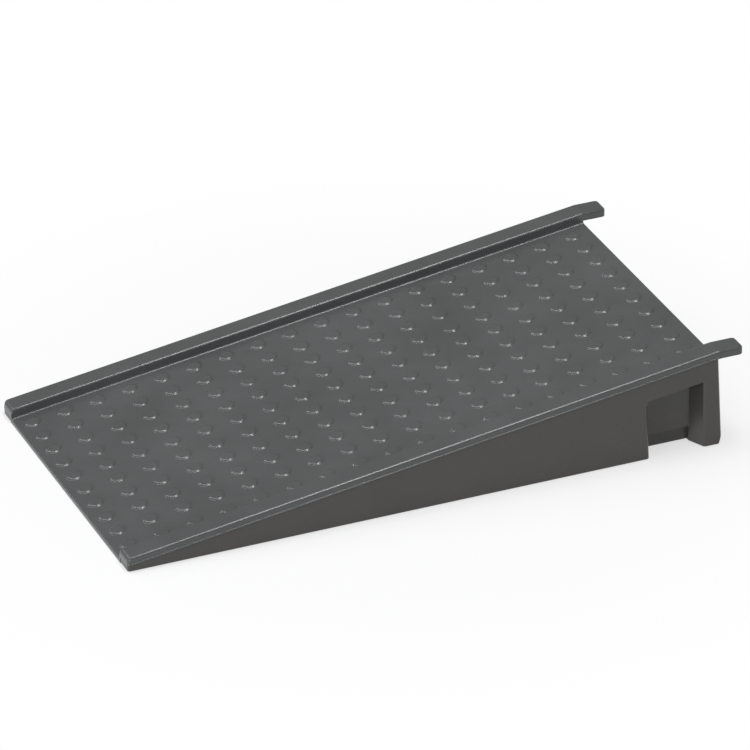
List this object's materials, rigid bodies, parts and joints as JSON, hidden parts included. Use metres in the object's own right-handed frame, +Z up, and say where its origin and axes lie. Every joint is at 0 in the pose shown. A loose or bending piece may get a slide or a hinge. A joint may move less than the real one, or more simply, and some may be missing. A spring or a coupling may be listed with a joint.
{
  "type": "access ramp",
  "caption": "Wedge ramp with a studded tread between two low curbs, level ends that lie on a platform's edge, side pockets, and an open underside stiffened by crossed webs.",
  "frame": {"origin": "on the floor, at the middle of the ramp's length and width", "axes": "+X runs up the ramp towards the platform, +Y to the left of someone walking up, +Z up"},
  "size_m": [1.145, 0.62, 0.1835],
  "materials": {
    "cover_polyethylene": "dark grey moulded polyethylene, satin",
    "frame_polyethylene": "dark grey moulded polyethylene, satin",
    "web_polyethylene": "black polyethylene sheet, matt",
    "foot_rubber": "black moulded rubber",
    "screw_steel": "zinc plated steel"
  },
  "bodies": {
    "root": {"tread_cover": "cover_polyethylene", "base_frame": "frame_polyethylene", "long_web_1": "web_polyethylene", "long_web_2": "web_polyethylene", "long_web_3": "web_polyethylene", "long_web_4": "web_polyethylene", "cross_web_1": "web_polyethylene", "cross_web_2": "web_polyethylene", "cross_web_3": "web_polyethylene", "cross_web_4": "web_polyethylene", "cover_screws": "screw_steel", "foot_toe_right": "foot_rubber", "foot_toe_left": "foot_rubber", "foot_mid_right": "foot_rubber", "foot_mid_left": "foot_rubber", "foot_high_right": "foot_rubber", "foot_high_left": "foot_rubber"}
  },
  "joints": []
}
